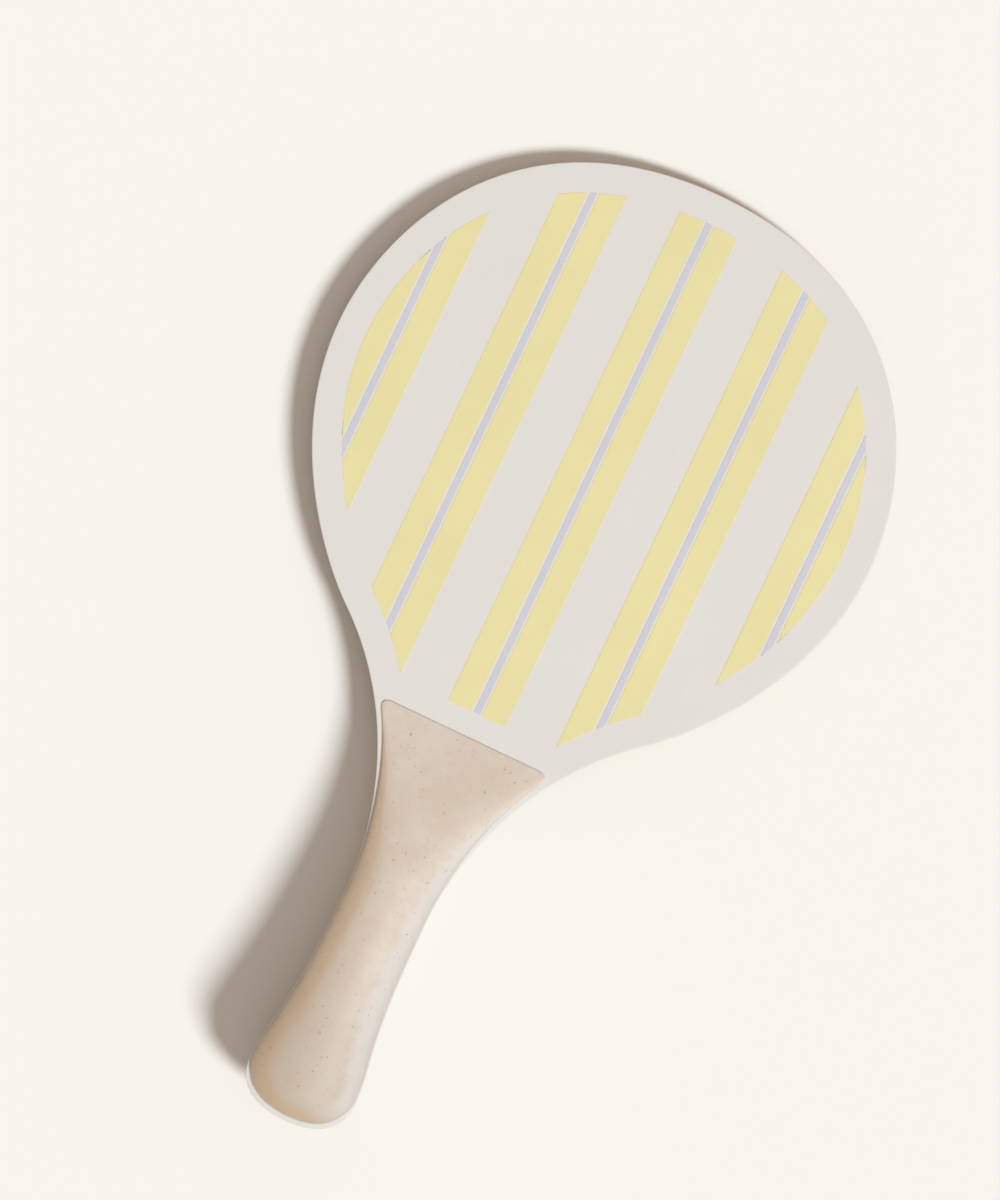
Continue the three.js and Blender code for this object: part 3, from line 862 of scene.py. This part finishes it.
class RACKET_OT_ground_coat(bpy.types.Operator):
    """Paint the front face, with the film drawn over the rounded edge"""

    bl_idname = "racket.ground_coat"
    bl_label = "Ground paint"

    def execute(self, context):
        racket = context.scene.racket
        board, edge = racket.board, bat_edge(racket)
        radius, depth = board.edge_round, PAINT_FACE - BOARD_FACE
        turns = np.linspace(0, board.paint_feather, FEATHER_STEPS + 1)
        end_left = 0.02  # square of the share of its depth that the film keeps to its end
        levels = [(board.flat_from, BOARD_FACE)]
        for t in turns:
            levels.append((radius * (1 - math.sin(t)), BOARD_FACE - radius * (1 - math.cos(t))))
        for t in turns[::-1]:
            left = max(end_left, 1 - (t / board.paint_feather) ** 2)
            outer = radius + depth * math.sqrt(left)
            levels.append((radius - outer * math.sin(t), BOARD_FACE - radius + outer * math.cos(t)))
        levels.append((board.flat_from, PAINT_FACE))
        film = plate("ground_paint_film", edge, levels)
        mesh = drilled(racket, film, BOARD_FACE, PAINT_FACE)
        place("ground_paint_film", mesh, "front_ground_coat", "ground_paint")
        return {"FINISHED"}


def crossing(edge, xs):
    """Heights, low and high, where an edge passes some distances from the middle line."""
    widest = int(np.argmax(edge[:, 0]))
    upper, lower = edge[:widest + 1], edge[widest:]
    narrowing = lower[:int(np.argmax(np.diff(lower[:, 0]) > 0)) + 1]
    high = np.interp(xs, upper[:, 0], upper[:, 1])
    low = np.interp(xs, narrowing[::-1, 0], narrowing[::-1, 1])
    return low, high


def stripe(name, edge, cut_y, left, right, rounding):
    """One printed stripe between two straight sides, ended by the outline of the print."""
    xs = np.linspace(left, right, STRIPE_STEPS + 1)
    reach, near = edge[:, 0].max(), min(abs(left), abs(right))
    if max(abs(left), abs(right)) > reach:
        # It runs out where the print is widest, and its columns crowd there.
        spread = np.sin(np.linspace(0, math.pi / 2, STRIPE_STEPS + 1))
        xs = near + (reach - near) * spread
        xs = xs if left > 0 else -xs[::-1]
    middle, half = (xs[-1] + xs[0]) / 2, (xs[-1] - xs[0]) / 2
    low, high = crossing(edge, np.abs(xs))
    profile = [
        (0, PAINT_FACE), (0, INK_FACE - rounding), (rounding * 0.3, INK_FACE - rounding * 0.3),
        (rounding, INK_FACE), (rounding * 4, INK_FACE),
    ]
    rings = []
    for margin, z in profile:
        drawn = middle + (xs - middle) * (half - margin) / half
        lower = np.maximum(low, cut_y) + margin
        upper = np.maximum(high - margin, lower)
        rings.append([[(x, y, z) for x, y in zip(drawn, ys)] for ys in (lower, upper)])
    return body_through(name, rings)


class RACKET_OT_stripes(bpy.types.Operator):
    """Print the stripe bands on the ground paint"""

    bl_idname = "racket.stripes"
    bl_label = "Printed stripes"

    def execute(self, context):
        racket = context.scene.racket
        bands = racket.print
        edge = inset(bat_edge(racket), bands.margin)
        cut_y = places(racket)["grip_top"] + bands.to_grip
        pitch = (racket.outline.head_width - 2 * bands.margin) * bands.pitch_share
        half, line = pitch * bands.width_share / 2, bands.line_width / 2
        gap = line + bands.line_gap
        spans = {
            "yellow_left": (-half, -gap), "lavender": (-line, line), "yellow_right": (gap, half),
        }
        for band in range(bands.band_count):
            middle = (band - (bands.band_count - 1) / 2) * pitch
            for label, (left, right) in spans.items():
                name = f"ink_{band + 1}_{label}"
                sides = middle + left, middle + right
                mesh = stripe(name, edge, cut_y, *sides, bands.edge_round)
                ink = "lavender_ink" if label == "lavender" else "yellow_ink"
                place(name, mesh, f"stripe_{band + 1}_{label}", ink)
        return {"FINISHED"}


def grip_margin(racket, y):
    """How much of the board shows beside the grip at a place along the handle."""
    grip, at = racket.grip, places(racket)
    flare = (grip.flare_margin - grip.neck_margin) * smoothstep(y, at["neck"], at["grip_top"])
    start, stop = [at["end"] + part * racket.outline.butt_rise for part in grip.butt_fade]
    butt = (grip.butt_margin - grip.neck_margin) * (1 - smoothstep(y, start, stop))
    return grip.neck_margin + flare + butt


def crest_height(racket, y):
    """Height of the dome along the middle line: a ramp up the flare, then level."""
    grip = racket.grip
    climb = np.clip((places(racket)["grip_top"] - y) / grip.ramp, 0, 1)
    share_up = np.sin(climb * math.pi / 2) ** (2 * grip.ramp_ease)
    return grip.top_edge + (grip.crest - grip.top_edge) * share_up


def place_of_crest(racket, height):
    """The place on the ramp where the dome has a given height."""
    grip = racket.grip
    share_up = (height - grip.top_edge) / (grip.crest - grip.top_edge)
    climb = math.asin(share_up ** (1 / (2 * grip.ramp_ease))) * 2 / math.pi
    return places(racket)["grip_top"] - climb * grip.ramp


def grip_edge(racket, drawn_in, head_end, corner=0):
    """Right-hand edge of a grip half from its butt up to its straight top edge."""
    edge = bat_edge(racket)
    margins = grip_margin(racket, edge[0][:, 1]) + drawn_in
    side = inset(edge, margins)[::-1]
    above = int(np.argmax(side[:, 1] > head_end))
    below, beyond = side[above - 1], side[above]
    tip = below + (beyond - below) * (head_end - below[1]) / (beyond[1] - below[1])
    side = side[:above][side[:above, 1] < head_end - MERGE_REACH]
    if not corner:
        return np.vstack([side, tip])
    clear = 1.02 * corner  # so that no point of the side crowds the start of the rounding
    kept = side[np.linalg.norm(side - tip, axis=1) > clear]
    down = tip - kept[-1]
    start = tip - down / np.linalg.norm(down) * corner
    end = np.array([tip[0] - corner, head_end])
    t = np.linspace(0, 1, CORNER_STEPS + 1)[:, None]
    return np.vstack([kept, (1 - t) ** 2 * start + 2 * t * (1 - t) * tip + t * t * end])


def section(roundness, aspect, columns):
    """Points across a rounded section, right to left, evenly spread, as shares of its sizes."""
    turn = np.linspace(0, math.pi, SECTION_STEPS + 1)
    across = np.sign(np.cos(turn)) * np.abs(np.cos(turn)) ** roundness
    up = np.sin(turn) ** roundness
    up[[0, -1]] = 0
    run = np.concatenate([[0], np.cumsum(np.hypot(np.diff(across), np.diff(up) * aspect))])
    even = np.linspace(0, run[-1], columns + 1)
    across, up = np.interp(even, run, across), np.interp(even, run, up)
    across[columns // 2] = 0
    return across, up


def walled(points, faces, loop, levels):
    """Adds walls below a loop of points, through pairs of a margin drawn in and a height.

    What comes back is the lowest loop."""
    plan = np.array([points[k][:2] for k in loop])
    run = np.roll(plan, -1, axis=0) - np.roll(plan, 1, axis=0)
    outward = np.column_stack([run[:, 1], -run[:, 0]])
    outward /= np.maximum(np.linalg.norm(outward, axis=1, keepdims=True), MERGE_REACH)
    outward[[0, -1]] = (0, -1)
    for margin, z in levels:
        ring = plan - outward * margin
        ring[[0, -1], 0] = 0
        below = range(len(points), len(points) + len(loop))
        points += [(x, y, z) for x, y in ring]
        faces += zip(loop, below, below[1:], loop[1:])
        loop = below
    return list(loop)


def dome(racket, name, edge, base, columns, height_at, rim=0, flat=1, finished=False):
    """A domed half body over an edge. A finished one has its top edge rounded, its foot relieved.

    It stands on the plane Z = 0 and goes on below it down to its base, to be cut off there."""
    grip, at = racket.grip, places(racket)
    butt_end, head_end = edge[0, 1], edge[-1, 1]
    nose = grip.nose - (butt_end - at["end"] - grip.butt_margin)
    rows = []
    for x, y in edge:
        short = min(max((butt_end + nose - y) / nose, 0), 1)
        nose_share = (1 - short ** (2 / grip.nose_roundness)) ** (grip.nose_roundness / 2)
        flare = float(smoothstep(y, at["neck"], at["grip_top"]))
        roundness = grip.handle_roundness + (grip.flare_roundness - grip.handle_roundness) * flare
        rise = (float(height_at(y)) - rim) * nose_share
        across, up = section(roundness, max(rise, MERGE_REACH) / max(x, MM), columns)
        z = rim + rise * np.minimum(up, flat)
        if finished:
            level = grip.top_edge - grip.top_round
            near = min((head_end - y) / grip.top_round, 1)
            z = level + (z - level) * math.sqrt(max(0.0, 1 - (1 - near) ** 2))
        rows.append(np.column_stack([x * across, np.full(columns + 1, y), z]))
    size, wide = len(rows), columns + 1
    points = [tuple(point) for point in np.vstack(rows)]
    faces = []
    for a in range(0, (size - 1) * wide, wide):
        b = a + wide
        faces += [(a + j, b + j, b + j + 1, a + j + 1) for j in range(columns)]

    # The rim runs up the right side, along the straight edge and down the left side.
    loop = list(range(0, size * wide, wide)) + list(range((size - 1) * wide + 1, size * wide - 1))
    loop += range(size * wide - 1, 0, -wide)
    relief = grip.foot_relief
    levels = [(0, relief), (relief, 0), (relief, base)] if finished else [(0, base)]
    foot = walled(points, faces, loop, levels)
    right, left = foot[:size], foot[::-1][:size]
    faces += zip(right[:-2], left[:-2], left[1:-1], right[1:-1])
    faces.append((right[-2], left[-2], *foot[::-1][size - 1:len(foot) - size + 1]))
    return mesh_from(name, points, faces)


def grip_shell(racket, boss_radius):
    """A moulded half with its ribs and bosses, open side down on Z = 0, without pegs or sockets.

    All its parts go on below that plane, each to a depth of its own, and are cut off there
    together, so that no two of them share a face."""
    grip, at = racket.grip, places(racket)
    outer = dome(
        racket, "outer", grip_edge(racket, 0, at["grip_top"], grip.corner), -OVERRUN,
        grip.columns, lambda y: crest_height(racket, y), grip.rim, finished=True,
    )
    pocket_top = place_of_crest(racket, grip.wall + grip.pocket_depth)
    pocket = dome(
        racket, "pocket", grip_edge(racket, grip.wall, pocket_top), -2 * OVERRUN, POCKET_COLUMNS,
        lambda y: (crest_height(racket, y) - grip.wall) / grip.pocket_flat, flat=grip.pocket_flat,
    )
    # What stands in the pocket is trimmed halfway through the wall, so that it grows out of it.
    half_wall = grip.wall / 2
    trim = dome(
        racket, "trim", grip_edge(racket, half_wall, pocket_top + half_wall), -1.5 * OVERRUN,
        POCKET_COLUMNS, lambda y: crest_height(racket, y) - half_wall, grip.rim / 2,
    )

    half_rib = grip.rib_thickness / 2
    pocket_end = at["end"] + grip.butt_margin + grip.wall
    pitch = (pocket_top - pocket_end) / (grip.rib_count + 1)
    low, high, wide = -2 * OVERRUN, grip.crest + OVERRUN, racket.outline.turn_width / 2
    inside = block("spine", (-half_rib, at["end"], low), (half_rib, at["grip_top"], high))
    for i in range(1, grip.rib_count + 1):
        y = pocket_end + i * pitch
        rib = block("rib", (-wide, y - half_rib, low - MM), (wide, y + half_rib, high + MM))
        inside = combined(inside, rib, "UNION")
    for y in peg_places(racket):
        boss = post("boss", y, [(boss_radius, low - 2 * MM), (boss_radius, high + 2 * MM)])
        inside = combined(inside, boss, "UNION")
    inside = combined(inside, trim, "INTERSECT")
    shell = combined(combined(outer, pocket, "DIFFERENCE"), inside, "UNION")
    ends = at["end"] - MM, at["grip_top"] + MM
    below = block("below", (-wide, ends[0], low - 3 * MM), (wide, ends[1], 0))
    return combined(shell, below, "DIFFERENCE")


class RACKET_OT_front_grip(bpy.types.Operator):
    """Mould the grip half on the printed side, with the pegs that pass through the tang"""

    bl_idname = "racket.front_grip"
    bl_label = "Front grip half"

    def execute(self, context):
        racket = context.scene.racket
        grip, radius = racket.grip, racket.board.peg_radius
        mesh = grip_shell(racket, radius + grip.boss_wall)
        tip, taper = REAR_FACE - PAINT_FACE - grip.peg_reach, grip.peg_taper
        peg = [(radius - taper, tip), (radius, tip + taper), (radius, grip.crest / 2)]
        for y in peg_places(racket):
            mesh = combined(mesh, post("peg", y, peg), "UNION")
        mesh.transform(Matrix.Translation((0, 0, PAINT_FACE)))
        place("front_grip", mesh, "front_grip_shell", "flecked_composite")
        return {"FINISHED"}


class RACKET_OT_rear_grip(bpy.types.Operator):
    """Mould the grip half on the bare side, with the sockets that take the pegs"""

    bl_idname = "racket.rear_grip"
    bl_label = "Rear grip half"

    def execute(self, context):
        racket = context.scene.racket
        grip = racket.grip
        radius = racket.board.peg_radius + grip.socket_clearance
        mesh = grip_shell(racket, radius + grip.boss_wall)
        socket = [(radius, -MM), (radius, grip.peg_reach + grip.socket_spare)]
        for y in peg_places(racket):
            mesh = combined(mesh, post("socket", y, socket), "DIFFERENCE")
        mesh.transform(Matrix.Translation((0, 0, REAR_FACE)) @ Matrix.Rotation(math.pi, 4, "Y"))
        place("rear_grip", mesh, "rear_grip_shell", "flecked_composite")
        return {"FINISHED"}


def resting_floor(racket):
    """Where the racket touches the floor, and the floor's axes.

    It lies on the swell of its rear grip and on the far edge of the head."""
    at = places(racket)
    handle = np.linspace(at["end"], at["grip_top"], HANDLE_STEPS)
    y = float(handle[np.argmax(crest_height(racket, handle) / (at["top"] - handle))])
    swell = Vector((0, y, REAR_FACE - float(crest_height(racket, y))))
    side, along = Vector((1, 0, 0)), (Vector((0, at["top"], REAR_FACE)) - swell).normalized()
    return swell, Matrix((side, along, side.cross(along))).transposed()


def lay_floor(stage, origin, axes):
    """The round pale floor that the racket rests on."""
    reach = stage.floor_radius
    rim = [(reach * math.cos(t), reach * math.sin(t), 0) for t in full_turn(FLOOR_STEPS)]
    mesh = bpy.data.meshes.new("floor")
    mesh.from_pydata(rim, [], [range(FLOOR_STEPS)])
    mesh.materials.append(floor_material(stage))
    floor = bpy.data.objects.new("floor", mesh)
    floor.matrix_world = Matrix.Translation(origin) @ axes.to_4x4()
    bpy.context.scene.collection.objects.link(floor)
    return floor


def hang_lamp(name, kind, toward):
    """A lamp that shines from a direction, as its object."""
    lamp = bpy.data.objects.new(name, bpy.data.lights.new(name, kind))
    lamp.rotation_mode = "QUATERNION"
    lamp.rotation_quaternion = toward.to_track_quat("Z", "Y")
    bpy.context.scene.collection.objects.link(lamp)
    return lamp


def hang_key(stage, name, toward, height, lit):
    """A lamp as wide as a softbox looks, which lights only some of the objects."""
    key = hang_lamp(name, "SUN", toward)
    key.data.energy = stage.key_share * math.pi / math.sin(height)
    key.data.angle, key.data.color = stage.key_spread, stage.key_colour
    receivers = bpy.data.collections.new(f"{name}_receivers")
    for piece in lit:
        receivers.objects.link(piece)
    key.light_linking.receiver_collection = receivers


def hang_sheen(stage, toward):
    """A wide panel that only shows in the sheen of the grips and the paint."""
    sheen = hang_lamp("sheen_panel", "AREA", toward)
    panel = sheen.data
    panel.shape = "RECTANGLE"
    panel.size_y = 2 * stage.sheen_distance * math.tan(stage.sheen_spread / 2)
    panel.size = 2 * panel.size_y
    panel.color = stage.sheen_colour
    panel.energy = stage.sheen_strength * math.pi * panel.size * panel.size_y
    sheen.visible_diffuse = False
    sheen.location = toward * stage.sheen_distance


def aim_camera(stage):
    """The camera looks square at the printed face, with the racket lying over."""
    camera = bpy.data.cameras.new("camera")
    camera.lens = camera.sensor_width * stage.view_distance / stage.view_height
    camera.clip_start, camera.clip_end = CAMERA_REACH
    eye = bpy.data.objects.new("camera", camera)
    aim = Vector((-stage.view_shift_x, stage.view_shift_y, stage.view_distance))
    eye.matrix_world = Matrix.Translation(aim) @ Matrix.Rotation(stage.view_turn, 4, "Z")
    bpy.context.scene.collection.objects.link(eye)
    bpy.context.scene.camera = eye


class RACKET_OT_stage(bpy.types.Operator):
    """Set the floor, the light and the camera"""

    bl_idname = "racket.stage"
    bl_label = "Floor, light and camera"

    def execute(self, context):
        racket, scene = context.scene.racket, context.scene
        stage = racket.stage
        pieces = [piece for piece in scene.collection.objects if piece.type == "MESH"]
        origin, axes = resting_floor(racket)
        floor = lay_floor(stage, origin, axes)
        light_world(stage)

        turn, side = stage.view_turn, stage.key_side
        right = Vector((math.cos(turn), math.sin(turn), 0))
        upward = Vector((-math.sin(turn), math.cos(turn), 0))
        across = axes @ (right * math.cos(side) - upward * math.sin(side))

        def from_height(height):
            return across * math.cos(height) + axes.col[2] * math.sin(height)

        # The floor has a lower lamp of its own, for a broader shadow.
        for name, height, lit in (
            ("key", stage.key_height, pieces), ("shadow_key", stage.shadow_height, [floor]),
        ):
            hang_key(stage, name, from_height(height), height, lit)
        hang_sheen(stage, from_height(stage.sheen_height))
        aim_camera(stage)
        scene.view_settings.view_transform = "Standard"
        return {"FINISHED"}


OPERATORS = (
    RACKET_OT_finishes, RACKET_OT_board, RACKET_OT_ground_coat, RACKET_OT_stripes,
    RACKET_OT_front_grip, RACKET_OT_rear_grip, RACKET_OT_stage,
)


class RACKET_PT_panel(bpy.types.Panel):
    """Lists the pieces of the racket"""

    bl_label = "Frescobol racket"
    bl_idname = "RACKET_PT_panel"
    bl_space_type = "VIEW_3D"
    bl_region_type = "UI"
    bl_category = "Racket"

    def draw(self, context):
        for operator in OPERATORS:
            self.layout.operator(operator.bl_idname)
        for group in ("outline", "board", "print", "grip", "finish", "stage"):
            box = self.layout.box()
            settings = getattr(context.scene.racket, group)
            for name in settings.__annotations__:
                box.prop(settings, name)


CLASSES = (
    RacketOutline, RacketBoard, RacketPrint, RacketGrip, RacketFinish, RacketStage, RacketSettings,
    *OPERATORS, RACKET_PT_panel,
)


def register():
    for cls in CLASSES:
        bpy.utils.register_class(cls)
    bpy.types.Scene.racket = PointerProperty(type=RacketSettings)


def unregister():
    del bpy.types.Scene.racket
    for cls in reversed(CLASSES):
        bpy.utils.unregister_class(cls)


def main():
    register()
    bpy.ops.racket.finishes()
    bpy.ops.racket.board()
    bpy.ops.racket.ground_coat()
    bpy.ops.racket.stripes()
    bpy.ops.racket.front_grip()
    bpy.ops.racket.rear_grip()
    bpy.ops.racket.stage()


if __name__ == "__main__":
    main()
